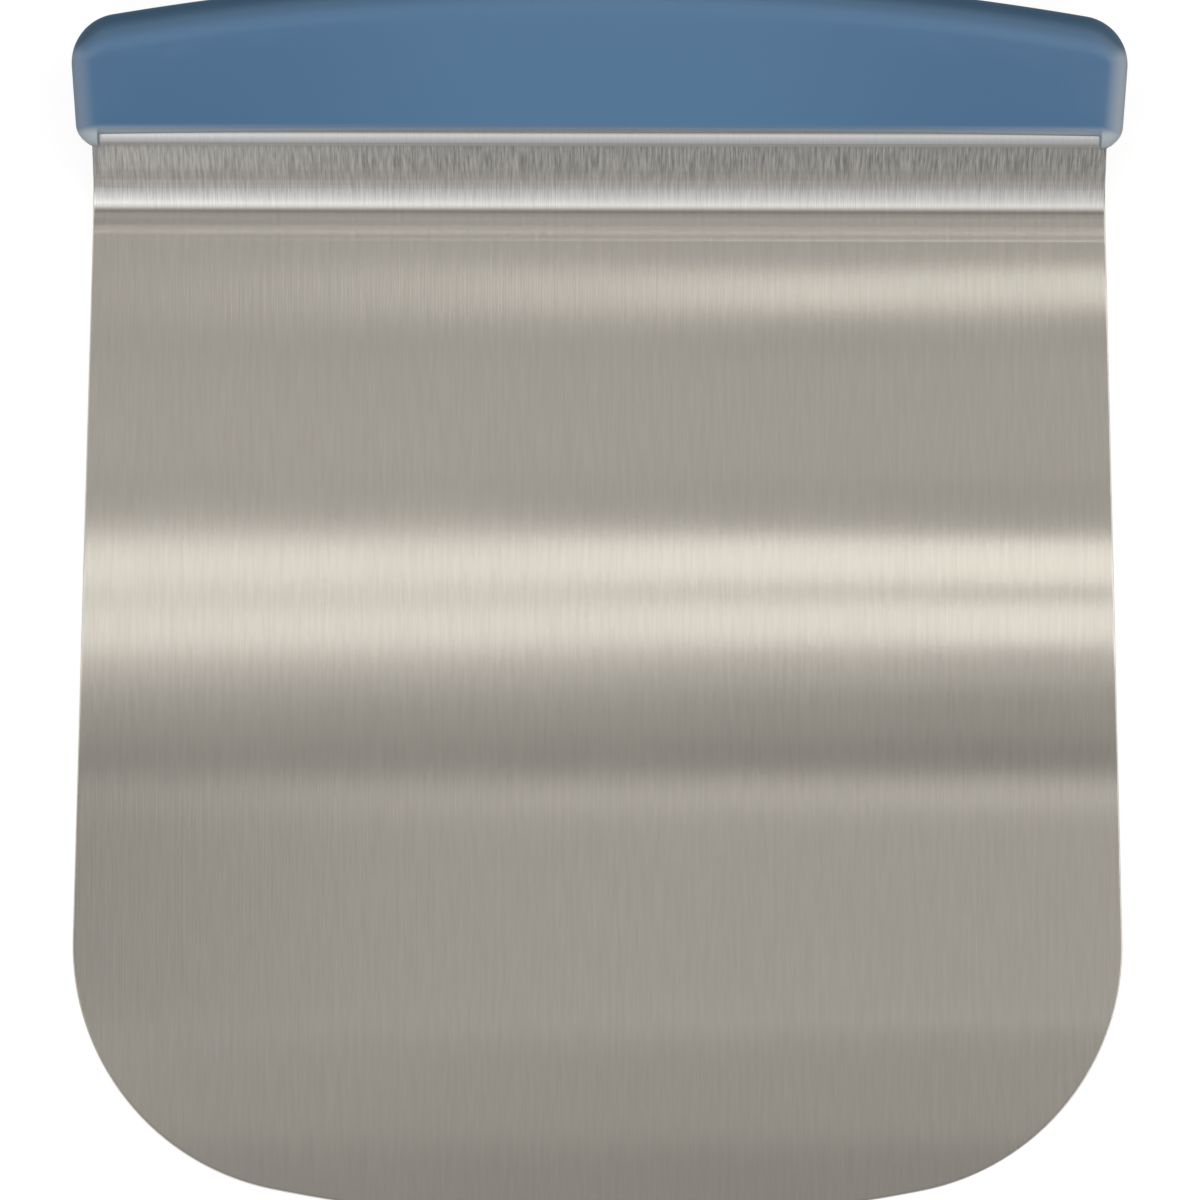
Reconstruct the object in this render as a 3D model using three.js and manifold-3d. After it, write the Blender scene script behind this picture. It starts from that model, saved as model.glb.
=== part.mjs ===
// Cake lifter: one bent stainless steel sheet held between two moulded handle shells by four screws.
// Millimetres. X runs across the blade, Y from its front edge to the handle, Z up from the table.
import * as THREE from "three";
import { mergeVertices } from "three/addons/utils/BufferGeometryUtils.js";
import Module from "manifold-3d";

const wasm = await Module();
wasm.setup();

// Sheet: blade, riser and tang are one stamping
const SHEET_THICKNESS = 0.8;
const BLADE_WIDTH = 203.2;
const BLADE_LENGTH = 194.1;
const BLADE_FLARE = 1.49;
const FRONT_CORNER_RADIUS = 48;
const FRONT_EDGE_RADIUS = 322;
const RISER_ANGLE = 65;
const RISER_BEND_RADIUS = 7.8;
const TANG_BEND_RADIUS = 3;
const TANG_REAR_MARGIN = 11.8;
const TANG_CORNER_RADIUS = 10;

// Handle: two hollow shells that meet along the top of the sheet
const HANDLE_HEIGHT = 14;
const HANDLE_THICKNESS = 14;
const HANDLE_DEPTH = 33;
const HANDLE_FRONT_LEAD = 0.57;
const HANDLE_END_OVERHANG = 3.67;
const HANDLE_TANG_LEVEL = 6;
const HANDLE_ARCH_RADIUS = 556;
const HANDLE_END_TAPER = 4.2;
const HANDLE_REAR_CORNER_RADIUS = 9.4;
const HANDLE_FACE_CORNER_RADIUS = 1;
const EDGE_HEIGHT = 3.4;
const EDGE_REACH_FRONT = 3.2;
const EDGE_REACH_ENDS = 3.3;
const EDGE_REACH_REAR = 8;
const NOTCH_DEPTH = 2.8;
const NOTCH_END_MARGIN = 1.4;
const SHELL_WALL = 2.2;
const RIB_THICKNESS = 1.6;

// Screws: driven up from the underside, heads sunk below the bottom shell
const SCREW_COUNT = 4;
const SCREW_END_MARGIN = 16.3;
const SCREW_RADIUS = 1.5;
const SCREW_CORE_RADIUS = 1.1;
const SCREW_LENGTH = 8;
const SCREW_THREAD_PITCH = 1.2;
const SCREW_TIP_LENGTH = 1.4;
const SCREW_HEAD_RADIUS = 2.75;
const SCREW_HEAD_HEIGHT = 2;
const SCREW_HEAD_RECESS = 0.5;
const DRIVE_WIDTH = 3.2;
const DRIVE_SLOT = 0.8;
const DRIVE_DEPTH = 1.1;
const BOSS_WALL = 1.2;
const PILOT_SPARE_DEPTH = 0.5;

// Space left between neighbours
const FIT_CLEARANCE = 0.25;
const TANG_HOLE_CLEARANCE = 0.5;

// How finely curves are cut
const FRONT_EDGE_STEPS = 10;
const CORNER_STEPS = 16;
const BEND_STEPS = 8;
const SMALL_CORNER_STEPS = 6;
const ARCH_STEPS = 12;
const EDGE_STEPS = 6;
const ROUND_STEPS = 24;

const RIGHT_ANGLE = Math.PI / 2;
const FAR = 400;
const flare = THREE.MathUtils.degToRad(BLADE_FLARE);
const endTaper = THREE.MathUtils.degToRad(HANDLE_END_TAPER);
const riserAngle = THREE.MathUtils.degToRad(RISER_ANGLE);
const halfSheet = SHEET_THICKNESS / 2;

// Levels that follow from the sizes above
const handleTop = HANDLE_HEIGHT + HANDLE_THICKNESS;
const tangHeight = HANDLE_HEIGHT + HANDLE_TANG_LEVEL;
const screwSeat = HANDLE_HEIGHT + SCREW_HEAD_RECESS + SCREW_HEAD_HEIGHT;
const screwTip = screwSeat + SCREW_LENGTH;

const steel = new THREE.MeshStandardMaterial({ color: 0xc9c6bf, metalness: 1, roughness: 0.34 });
const bluePlastic = new THREE.MeshStandardMaterial({ color: 0x54779a, metalness: 0, roughness: 0.35 });
const screwSteel = new THREE.MeshStandardMaterial({ color: 0xb4b4b2, metalness: 1, roughness: 0.4 });

// Shared shape makers

function evenSteps(from, to, steps) {
  const values = [];
  for (let i = 0; i <= steps; i += 1) {
    values.push(from + ((to - from) * i) / steps);
  }
  return values;
}

function arcPoint(centre, radius, angle) {
  return new THREE.Vector2(centre.x + radius * Math.cos(angle), centre.y + radius * Math.sin(angle));
}

// Points on an arc, its angle turning from the first axis towards the second.
function arc(centre, radius, from, to, steps) {
  return evenSteps(from, to, steps).map((angle) => arcPoint(centre, radius, angle));
}

function meshFromTriangles(points, triangles) {
  const geometry = new THREE.BufferGeometry();
  const numbers = points.flatMap((point) => [point.x, point.y, point.z]);
  geometry.setAttribute("position", new THREE.Float32BufferAttribute(numbers, 3));
  geometry.setIndex(triangles.flat());
  return geometry;
}

// A closed skin over rings of equal count, listed from low to high and turning the same way.
function loft(rings) {
  const count = rings[0].length;
  const last = (rings.length - 1) * count;
  const triangles = [];
  for (let ring = 0; ring < rings.length - 1; ring += 1) {
    for (let i = 0; i < count; i += 1) {
      const a = ring * count + i;
      const b = ring * count + ((i + 1) % count);
      triangles.push([a, b, b + count], [a, b + count, a + count]);
    }
  }
  for (let i = 1; i < count - 1; i += 1) {
    triangles.push([0, i + 1, i], [last, last + i, last + i + 1]);
  }
  return meshFromTriangles(rings.flat(), triangles);
}

// A side outline given as points of Y and Z, drawn across X between two places.
function acrossX(outline, fromX, toX) {
  const side = new THREE.Shape(outline);
  const geometry = new THREE.ExtrudeGeometry(side, { depth: toX - fromX, bevelEnabled: false });
  const turn = new THREE.Matrix4().makeBasis(
    new THREE.Vector3(0, 1, 0),
    new THREE.Vector3(0, 0, 1),
    new THREE.Vector3(1, 0, 0),
  );
  geometry.applyMatrix4(turn);
  geometry.translate(fromX, 0, 0);
  return geometry;
}

function upright(radius, fromZ, toZ, x, y) {
  const geometry = new THREE.CylinderGeometry(radius, radius, toZ - fromZ, ROUND_STEPS);
  geometry.rotateX(RIGHT_ANGLE);
  geometry.translate(x, y, (fromZ + toZ) / 2);
  return geometry;
}

// Joins and cuts

function solid(source) {
  const bare = source.clone();
  bare.deleteAttribute("normal");
  bare.deleteAttribute("uv");
  const geometry = mergeVertices(bare, 1e-4);
  const corners = geometry.index.array;
  const kept = [];
  for (let i = 0; i < corners.length; i += 3) {
    const [a, b, c] = [corners[i], corners[i + 1], corners[i + 2]];
    if (a !== b && b !== c && c !== a) {
      kept.push(a, b, c);
    }
  }
  const vertProperties = new Float32Array(geometry.attributes.position.array);
  return new wasm.Manifold(new wasm.Mesh({ numProp: 3, vertProperties, triVerts: new Uint32Array(kept) }));
}

function piece(name, body, material) {
  const result = body.getMesh();
  const geometry = new THREE.BufferGeometry();
  geometry.setAttribute("position", new THREE.Float32BufferAttribute(Array.from(result.vertProperties), 3));
  geometry.setIndex(Array.from(result.triVerts));
  geometry.computeVertexNormals();
  const mesh = new THREE.Mesh(geometry, material);
  mesh.name = name;
  mesh.position.y = centreShift;
  return mesh;
}

// Sheet: where its middle runs

const riserBend = RISER_BEND_RADIUS + halfSheet;
const tangBend = TANG_BEND_RADIUS + halfSheet;
const riserBendLength = riserBend * riserAngle;
const tangBendLength = tangBend * riserAngle;
const riserRise = tangHeight - (riserBend + tangBend) * (1 - Math.cos(riserAngle));
const riserLength = riserRise / Math.sin(riserAngle);
const riserStart = riserBendLength;
const riserEnd = riserStart + riserLength;
const tangStart = riserEnd + tangBendLength;

// Place on the bent sheet at a length along it from the first bend, and a height off its middle.
function sheetPoint(length, off) {
  const place = new THREE.Vector2(Math.min(length, 0), halfSheet);
  const firstTurn = THREE.MathUtils.clamp(length / riserBend, 0, riserAngle);
  place.x += riserBend * Math.sin(firstTurn);
  place.y += riserBend * (1 - Math.cos(firstTurn));
  const climb = THREE.MathUtils.clamp(length - riserStart, 0, riserLength);
  place.x += climb * Math.cos(riserAngle);
  place.y += climb * Math.sin(riserAngle);
  const secondTurn = THREE.MathUtils.clamp((length - riserEnd) / tangBend, 0, riserAngle);
  const lean = riserAngle - secondTurn;
  place.x += tangBend * (Math.sin(riserAngle) - Math.sin(lean));
  place.y += tangBend * (Math.cos(lean) - Math.cos(riserAngle));
  place.x += Math.max(length - tangStart, 0);
  const slope = firstTurn - secondTurn;
  place.x -= off * Math.sin(slope);
  place.y += off * Math.cos(slope);
  return place;
}

// Handle's front and rear, and how far the tang reaches between them

const handleFront = sheetPoint(riserEnd, 0).x - HANDLE_FRONT_LEAD;
const handleRear = handleFront + HANDLE_DEPTH;
const tangDepth = handleRear - TANG_REAR_MARGIN - sheetPoint(tangStart, 0).x;
const tangEnd = tangStart + tangDepth;
const centreShift = (BLADE_LENGTH - handleRear) / 2;

// Sheet: its right-hand edge before bending, as half width and length from the first bend

const frontCentre = new THREE.Vector2(0, FRONT_EDGE_RADIUS - BLADE_LENGTH);
const cornerX = BLADE_WIDTH / 2 - FRONT_CORNER_RADIUS;
const cornerReach = FRONT_EDGE_RADIUS - FRONT_CORNER_RADIUS;
const cornerCentre = new THREE.Vector2(cornerX, frontCentre.y - Math.sqrt(cornerReach ** 2 - cornerX ** 2));
const sideOut = new THREE.Vector2(Math.cos(flare), Math.sin(flare));
const sideReach = sideOut.dot(cornerCentre) + FRONT_CORNER_RADIUS;

function sideHalfWidth(length) {
  return (sideReach - sideOut.y * length) / sideOut.x;
}

function sheetRows() {
  const meet = Math.atan2(cornerCentre.y - frontCentre.y, cornerCentre.x - frontCentre.x);
  const frontEdge = arc(frontCentre, FRONT_EDGE_RADIUS, -RIGHT_ANGLE, meet, FRONT_EDGE_STEPS).slice(1);
  const corner = arc(cornerCentre, FRONT_CORNER_RADIUS, meet, flare, CORNER_STEPS).slice(1);
  const lengths = [...evenSteps(0, riserStart, BEND_STEPS), ...evenSteps(riserEnd, tangStart, BEND_STEPS)];
  const sides = lengths.map((length) => new THREE.Vector2(sideHalfWidth(length), length));
  const tangY = tangEnd - TANG_CORNER_RADIUS;
  const tangX = (sideReach - TANG_CORNER_RADIUS - sideOut.y * tangY) / sideOut.x;
  const tangCentre = new THREE.Vector2(tangX, tangY);
  const tangCorner = arc(tangCentre, TANG_CORNER_RADIUS, flare, RIGHT_ANGLE, SMALL_CORNER_STEPS);
  return [...frontEdge, ...corner, ...sides, ...tangCorner];
}

function sheetBody() {
  const rows = sheetRows();
  const points = [];
  const triangles = [];
  for (const row of rows) {
    const upper = sheetPoint(row.y, halfSheet);
    const lower = sheetPoint(row.y, -halfSheet);
    points.push(
      new THREE.Vector3(-row.x, upper.x, upper.y),
      new THREE.Vector3(row.x, upper.x, upper.y),
      new THREE.Vector3(row.x, lower.x, lower.y),
      new THREE.Vector3(-row.x, lower.x, lower.y),
    );
  }
  const last = (rows.length - 1) * 4;
  for (let row = 0; row < last; row += 4) {
    for (let side = 0; side < 4; side += 1) {
      const a = row + side;
      const b = row + ((side + 1) % 4);
      triangles.push([a, b, b + 4], [a, b + 4, a + 4]);
    }
  }
  triangles.push([0, 3, 2], [0, 2, 1], [last, last + 1, last + 2], [last, last + 2, last + 3]);
  return solid(meshFromTriangles(points, triangles));
}

// Screw places along the middle of the tang

const tangHalfWidth = sideHalfWidth(riserEnd);
const outerScrewX = tangHalfWidth - SCREW_END_MARGIN;
const screwPitch = (2 * outerScrewX) / (SCREW_COUNT - 1);
const screwY = sheetPoint(tangStart + tangDepth / 2, 0).x;
const screwPlaces = [];
for (let i = 0; i < SCREW_COUNT; i += 1) {
  screwPlaces.push(new THREE.Vector2(screwPitch * i - outerScrewX, screwY));
}

function drilled(body, radius, fromZ, toZ) {
  const drills = screwPlaces.map((at) => solid(upright(radius, fromZ, toZ, at.x, at.y)));
  return drills.reduce((rest, drill) => rest.subtract(drill), body);
}

const blade = drilled(sheetBody(), SCREW_RADIUS + TANG_HOLE_CLEARANCE, HANDLE_HEIGHT, handleTop);

// Handle: outline seen from above, drawn in by given amounts at its front, ends and rear

const archCentre = new THREE.Vector2(0, handleRear - HANDLE_ARCH_RADIUS);
const rearX = tangHalfWidth + HANDLE_END_OVERHANG - HANDLE_REAR_CORNER_RADIUS;
const rearReach = HANDLE_ARCH_RADIUS - HANDLE_REAR_CORNER_RADIUS;
const rearCentre = new THREE.Vector2(rearX, archCentre.y + Math.sqrt(rearReach ** 2 - rearX ** 2));
const endOut = new THREE.Vector2(Math.cos(endTaper), -Math.sin(endTaper));
const frontCornerRadius = EDGE_REACH_ENDS + HANDLE_FACE_CORNER_RADIUS;
const endReach = endOut.dot(rearCentre) + HANDLE_REAR_CORNER_RADIUS - frontCornerRadius;
const frontY = handleFront + frontCornerRadius;
const handleFrontCentre = new THREE.Vector2((endReach - endOut.y * frontY) / endOut.x, frontY);

function handleRing(inset, z) {
  const meet = Math.atan2(rearCentre.y - archCentre.y, rearCentre.x - archCentre.x);
  const drawnIn = (centre, radius) => (angle) => {
    const point = arcPoint(centre, radius, angle);
    const inward = Math.sin(angle) < 0 ? inset.front : inset.rear;
    return new THREE.Vector3(point.x - inset.ends * Math.cos(angle), point.y - inward * Math.sin(angle), z);
  };
  const frontCorner = evenSteps(-RIGHT_ANGLE, -endTaper, SMALL_CORNER_STEPS);
  const rearCorner = evenSteps(-endTaper, meet, CORNER_STEPS / 2);
  const arch = evenSteps(meet, RIGHT_ANGLE, ARCH_STEPS).slice(1);
  const right = [
    ...frontCorner.map(drawnIn(handleFrontCentre, frontCornerRadius)),
    ...rearCorner.map(drawnIn(rearCentre, HANDLE_REAR_CORNER_RADIUS)),
    ...arch.map(drawnIn(archCentre, HANDLE_ARCH_RADIUS)),
  ];
  const left = right.slice(0, -1).reverse().map((point) => new THREE.Vector3(-point.x, point.y, z));
  return [...right, ...left];
}

// The handle's rounded skin, or one a given depth inside it and further back at the front.
function handleSkin(depth, setback, steps) {
  const low = [];
  const high = [];
  for (const turn of evenSteps(0, RIGHT_ANGLE, steps)) {
    const inset = {
      front: EDGE_REACH_FRONT - (EDGE_REACH_FRONT - depth) * Math.cos(turn) + setback,
      ends: EDGE_REACH_ENDS - (EDGE_REACH_ENDS - depth) * Math.cos(turn),
      rear: EDGE_REACH_REAR - (EDGE_REACH_REAR - depth) * Math.cos(turn),
    };
    const level = EDGE_HEIGHT - (EDGE_HEIGHT - depth) * Math.sin(turn);
    low.unshift(handleRing(inset, HANDLE_HEIGHT + level));
    high.push(handleRing(inset, handleTop - level));
  }
  return solid(loft([...low, ...high]));
}

function handleBody() {
  const outside = handleSkin(0, 0, EDGE_STEPS);
  let body = outside.subtract(handleSkin(SHELL_WALL, NOTCH_DEPTH, EDGE_STEPS / 2));
  const bossRadius = SCREW_HEAD_RADIUS + FIT_CLEARANCE + BOSS_WALL;
  const lowest = HANDLE_HEIGHT + SHELL_WALL / 2;
  const highest = handleTop - SHELL_WALL / 2;
  for (const at of screwPlaces) {
    body = body.add(solid(upright(bossRadius, lowest, highest, at.x, at.y)));
  }
  const ribFront = handleFront + SHELL_WALL / 2;
  const ribRear = handleRear - SHELL_WALL / 2;
  for (const at of screwPlaces.slice(1)) {
    const rib = new THREE.BoxGeometry(RIB_THICKNESS, ribRear - ribFront, highest - lowest);
    rib.translate(at.x - screwPitch / 2, (ribFront + ribRear) / 2, (highest + lowest) / 2);
    body = body.add(solid(rib).intersect(outside));
  }
  return body;
}

// Line of the sheet in the side view from the riser back, a given height off its middle.
function sheetLine(off, to) {
  const lengths = [riserStart, ...evenSteps(riserEnd, tangStart, BEND_STEPS), to];
  return lengths.map((length) => sheetPoint(length, off));
}

// The line above closed along a level above or below it, drawn across X.
function sideOf(line, level, halfWidth) {
  const ends = [new THREE.Vector2(line[line.length - 1].x, level), new THREE.Vector2(line[0].x, level)];
  return solid(acrossX([...line, ...ends], -halfWidth, halfWidth));
}

const handle = handleBody();
const aboveParting = sideOf(sheetLine(halfSheet + FIT_CLEARANCE, FAR), FAR, FAR);
const belowParting = sideOf(sheetLine(halfSheet, FAR), -FAR, FAR);
const tangPocket = sideOf(
  sheetLine(-halfSheet - FIT_CLEARANCE, tangEnd + FIT_CLEARANCE),
  FAR,
  tangHalfWidth + FIT_CLEARANCE,
);

// The top shell stands back from the sheet's upper bend, between two cheeks at its ends
const notchBox = new THREE.BoxGeometry(2 * (tangHalfWidth - NOTCH_END_MARGIN), 2 * NOTCH_DEPTH, FAR);
notchBox.translate(0, handleFront, 0);
const notch = solid(notchBox);

const screwHole = SCREW_RADIUS + FIT_CLEARANCE;
const pilotEnd = screwTip + PILOT_SPARE_DEPTH;
const topShell = drilled(
  handle.intersect(aboveParting).subtract(notch),
  screwHole,
  HANDLE_HEIGHT,
  pilotEnd,
);
const bottomShellThrough = drilled(
  handle.intersect(belowParting).subtract(tangPocket),
  screwHole,
  HANDLE_HEIGHT - SHELL_WALL,
  handleTop,
);
const bottomShell = drilled(
  bottomShellThrough,
  SCREW_HEAD_RADIUS + FIT_CLEARANCE,
  HANDLE_HEIGHT - SHELL_WALL,
  screwSeat,
);

// Screw: pan head with a cross recess, ridged shank and a blunt point

function screwBody(at) {
  const headBase = screwSeat - SCREW_HEAD_HEIGHT;
  const shankEnd = screwTip - SCREW_TIP_LENGTH;
  const outline = [
    new THREE.Vector2(0, headBase),
    new THREE.Vector2(SCREW_HEAD_RADIUS * 0.82, headBase),
    new THREE.Vector2(SCREW_HEAD_RADIUS * 0.95, headBase + SCREW_HEAD_HEIGHT * 0.15),
    new THREE.Vector2(SCREW_HEAD_RADIUS, headBase + SCREW_HEAD_HEIGHT * 0.4),
    new THREE.Vector2(SCREW_HEAD_RADIUS, screwSeat),
    new THREE.Vector2(SCREW_CORE_RADIUS, screwSeat),
  ];
  const ridges = Math.floor((shankEnd - screwSeat) / SCREW_THREAD_PITCH);
  for (let i = 0; i < ridges; i += 1) {
    const base = screwSeat + SCREW_THREAD_PITCH * i;
    outline.push(new THREE.Vector2(SCREW_CORE_RADIUS, base + SCREW_THREAD_PITCH * 0.3));
    outline.push(new THREE.Vector2(SCREW_RADIUS, base + SCREW_THREAD_PITCH * 0.6));
    outline.push(new THREE.Vector2(SCREW_CORE_RADIUS, base + SCREW_THREAD_PITCH * 0.9));
  }
  outline.push(new THREE.Vector2(SCREW_CORE_RADIUS, shankEnd), new THREE.Vector2(0, screwTip));
  const turned = new THREE.LatheGeometry(outline, ROUND_STEPS * 2 / 3);
  turned.rotateX(RIGHT_ANGLE);
  turned.translate(at.x, at.y, 0);
  const [arm, slot] = [DRIVE_WIDTH / 2, DRIVE_SLOT / 2];
  const cross = new THREE.Shape([
    new THREE.Vector2(-arm, -slot),
    new THREE.Vector2(-slot, -slot),
    new THREE.Vector2(-slot, -arm),
    new THREE.Vector2(slot, -arm),
    new THREE.Vector2(slot, -slot),
    new THREE.Vector2(arm, -slot),
    new THREE.Vector2(arm, slot),
    new THREE.Vector2(slot, slot),
    new THREE.Vector2(slot, arm),
    new THREE.Vector2(-slot, arm),
    new THREE.Vector2(-slot, slot),
    new THREE.Vector2(-arm, slot),
  ]);
  const recess = new THREE.ExtrudeGeometry(cross, { depth: DRIVE_DEPTH * 2, bevelEnabled: false });
  recess.translate(at.x, at.y, headBase - DRIVE_DEPTH);
  return solid(turned).subtract(solid(recess));
}

// Assembly

const lifter = new THREE.Group();
lifter.name = "cake_lifter";
lifter.add(piece("blade", blade, steel));
lifter.add(piece("handle_top_shell", topShell, bluePlastic));
lifter.add(piece("handle_bottom_shell", bottomShell, bluePlastic));
screwPlaces.forEach((at, index) => {
  lifter.add(piece(`handle_screw_${index + 1}`, screwBody(at), screwSteel));
});

export default lifter;
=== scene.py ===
import math

import bmesh
import bpy
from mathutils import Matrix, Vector
from mathutils.geometry import delaunay_2d_cdt


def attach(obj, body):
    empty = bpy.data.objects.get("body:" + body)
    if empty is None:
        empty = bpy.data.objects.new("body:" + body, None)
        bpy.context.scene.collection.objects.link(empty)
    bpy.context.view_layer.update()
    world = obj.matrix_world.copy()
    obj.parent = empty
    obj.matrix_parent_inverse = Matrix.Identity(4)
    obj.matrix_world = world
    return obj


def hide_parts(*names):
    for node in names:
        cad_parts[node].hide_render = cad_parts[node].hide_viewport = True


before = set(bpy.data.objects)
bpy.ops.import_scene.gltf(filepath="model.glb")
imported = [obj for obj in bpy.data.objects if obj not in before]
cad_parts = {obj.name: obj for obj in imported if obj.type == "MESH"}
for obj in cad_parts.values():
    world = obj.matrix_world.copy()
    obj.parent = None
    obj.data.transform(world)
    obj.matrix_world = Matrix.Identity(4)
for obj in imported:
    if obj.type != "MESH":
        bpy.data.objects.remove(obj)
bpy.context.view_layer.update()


# Blade: one stainless steel sheet, cut to outline, brushed from front to back and then bent
# twice in a press, so that it climbs at the rear and runs flat into the handle as a tang.
# Its cut edges are deburred, and four round holes in the tang let the handle screws through.
MM = 0.001
sheet_thickness = 0.8 * MM
half_sheet = sheet_thickness / 2
deburr_radius = 0.22 * MM
blade_length = 194.1 * MM
blade_half_width = 101.6 * MM
blade_flare = math.radians(1.49)
front_corner_radius = 48 * MM
front_edge_radius = 322 * MM
riser_angle = math.radians(65)
bend_start = -3.16 * MM
bend_arcs = [(10 * MM, 7), (36.3 * MM, 12), (9.83 * MM, 65)]
tang_bend_radius = 4.2 * MM
tang_level = 20 * MM
tang_depth = 17.04 * MM
tang_corner_radius = 10 * MM
bend_line = 74.018 * MM
crease_line = 71.7 * MM
tang_hole_radius = 2 * MM
wave_fade = 12 * MM
long_wave_height = 0.012 * MM
long_wave_run = 70 * MM
long_wave_drift = 900 * MM
cross_wave_height = 0.008 * MM
cross_wave_run = 150 * MM
cross_wave_drift = 240 * MM
cross_wave_start = 0.8
mesh_columns = 67
mesh_reach = 100.5 * MM
edge_support = 0.35 * MM
edge_clearance = 1.2 * MM
hole_clearance = 1.3
uv_size = 250 * MM
blade_sharp_angle = math.radians(50)
screw_spots = [(-81.03 * MM, 99.51 * MM), (-27.01 * MM, 99.51 * MM),
               (27.01 * MM, 99.51 * MM), (81.03 * MM, 99.51 * MM)]

riser_start = bend_start
bend_rise = tang_bend_radius * (1 - math.cos(riser_angle))
last_turn = 0
for bend_radius, bend_turn in bend_arcs:
    next_turn = math.radians(bend_turn)
    riser_start += bend_radius * (next_turn - last_turn)
    bend_rise += bend_radius * (math.cos(last_turn) - math.cos(next_turn))
    last_turn = next_turn
riser_end = riser_start + (tang_level - bend_rise) / math.sin(riser_angle)
tang_start = riser_end + tang_bend_radius * riser_angle
tang_end = tang_start + tang_depth


def clamp(value, low, high):
    return min(max(value, low), high)


def even_steps(start, end, count):
    return [start + (end - start) * i / count for i in range(count + 1)]


def sheet_section(length, off):
    """Y and Z of the bent sheet at a length back from the first bend and a height off its middle."""
    y = bend_line + min(length, bend_start)
    z = half_sheet
    left = max(length - bend_start, 0)
    first_turn = 0
    for radius, turn in bend_arcs:
        next_turn = min(first_turn + left / radius, math.radians(turn))
        y += radius * (math.sin(next_turn) - math.sin(first_turn))
        z += radius * (math.cos(first_turn) - math.cos(next_turn))
        left -= radius * (next_turn - first_turn)
        first_turn = next_turn
    climb = clamp(length - riser_start, 0, riser_end - riser_start)
    second_turn = clamp((length - riser_end) / tang_bend_radius, 0, riser_angle)
    lean = riser_angle - second_turn
    y += climb * math.cos(riser_angle) + max(length - tang_start, 0)
    z += climb * math.sin(riser_angle)
    y += tang_bend_radius * (math.sin(riser_angle) - math.sin(lean))
    z += tang_bend_radius * (math.cos(lean) - math.cos(riser_angle))
    slope = first_turn - second_turn
    return y - off * math.sin(slope), z + off * math.cos(slope)


def arc_points(centre, radius, start, end, count):
    return [(centre[0] + radius * math.cos(turn), centre[1] + radius * math.sin(turn))
            for turn in even_steps(start, end, count)]


def mirrored_loop(right_side):
    """A closed loop from its right-hand half, which runs from the front middle to the rear middle."""
    left_side = [(-x, y) for x, y in reversed(right_side) if x > 1e-9]
    return right_side + left_side


def blade_outline():
    """The flat sheet's edge before bending, as width and length from the first bend."""
    front_centre = (0, front_edge_radius - blade_length)
    corner_x = blade_half_width - front_corner_radius
    drop = math.sqrt((front_edge_radius - front_corner_radius) ** 2 - corner_x ** 2)
    corner = (corner_x, front_centre[1] - drop)
    meet = math.atan2(corner[1] - front_centre[1], corner[0] - front_centre[0])
    reach = corner[0] * math.cos(blade_flare) + corner[1] * math.sin(blade_flare) + front_corner_radius
    rear_y = tang_end - tang_corner_radius
    rear_x = (reach - tang_corner_radius - math.sin(blade_flare) * rear_y) / math.cos(blade_flare)
    side_lengths = [length for length in sheet_rows() if corner[1] + 3 * MM < length < rear_y - 1 * MM]
    right_side = arc_points(front_centre, front_edge_radius, -math.pi / 2, meet, 24)
    right_side += arc_points(corner, front_corner_radius, meet, blade_flare, 32)[1:]
    right_side += [((reach - math.sin(blade_flare) * length) / math.cos(blade_flare), length)
                   for length in side_lengths]
    right_side += arc_points((rear_x, rear_y), tang_corner_radius, blade_flare, math.pi / 2, 10)
    right_side += [(x, tang_end) for x in even_steps(rear_x, 0, 24)[1:]]
    return mirrored_loop(right_side)


def sheet_rows():
    """Lengths along the sheet at which its mesh has a row, close together in the two bends."""
    rows = even_steps(-blade_length, bend_start - 2 * MM, 64) + [bend_start - 1 * MM]
    rows += even_steps(bend_start, riser_start, 80)
    rows += even_steps(riser_start, riser_end, 8)[1:]
    rows += even_steps(riser_end, tang_start, 24)[1:] + even_steps(tang_start, tang_end, 6)[1:]
    return rows


def drawn_in(loop, inset):
    """A loop moved to its inside, square to its own run."""
    moved = []
    count = len(loop)
    for i in range(count):
        before, after = loop[i - 1], loop[(i + 1) % count]
        run = math.hypot(after[0] - before[0], after[1] - before[1])
        out = ((after[1] - before[1]) / run, -(after[0] - before[0]) / run)
        moved.append((loop[i][0] - inset * out[0], loop[i][1] - inset * out[1]))
    return moved


def inside_loop(loop, x, y):
    inside = False
    for i in range(len(loop)):
        (x0, y0), (x1, y1) = loop[i - 1], loop[i]
        if (y0 > y) != (y1 > y) and x < x0 + (x1 - x0) * (y - y0) / (y1 - y0):
            inside = not inside
    return inside


def circle(centre, radius, count=28):
    return arc_points(centre, radius, 0, 2 * math.pi * (1 - 1 / count), count - 1)


def fill_triangles(flat, loops, holes, inner):
    """Triangles over a flat outline. Loops, holes and inner hold places in the list of flat points."""
    used = [i for loop in loops + holes for i in loop] + list(inner)
    order = {place: i for i, place in enumerate(used)}
    edges = []
    for loop in loops + holes:
        edges += [(order[loop[i - 1]], order[loop[i]]) for i in range(len(loop))]
    places = [Vector(flat[i]) for i in used]
    made = delaunay_2d_cdt(places, edges, [], 1, 1e-9)
    corners, triangles, sources = made[0], made[2], made[3]
    hole_loops = [[flat[i] for i in hole] for hole in holes]
    kept = []
    for triangle in triangles:
        x = sum(corners[i].x for i in triangle) / 3
        y = sum(corners[i].y for i in triangle) / 3
        if not any(inside_loop(hole, x, y) for hole in hole_loops):
            kept.append([used[sources[i][0]] for i in triangle])
    return kept


def join_loops(faces, low, high):
    for i in range(len(low)):
        j = (i + 1) % len(low)
        faces.append((low[i], low[j], high[j], high[i]))


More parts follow.
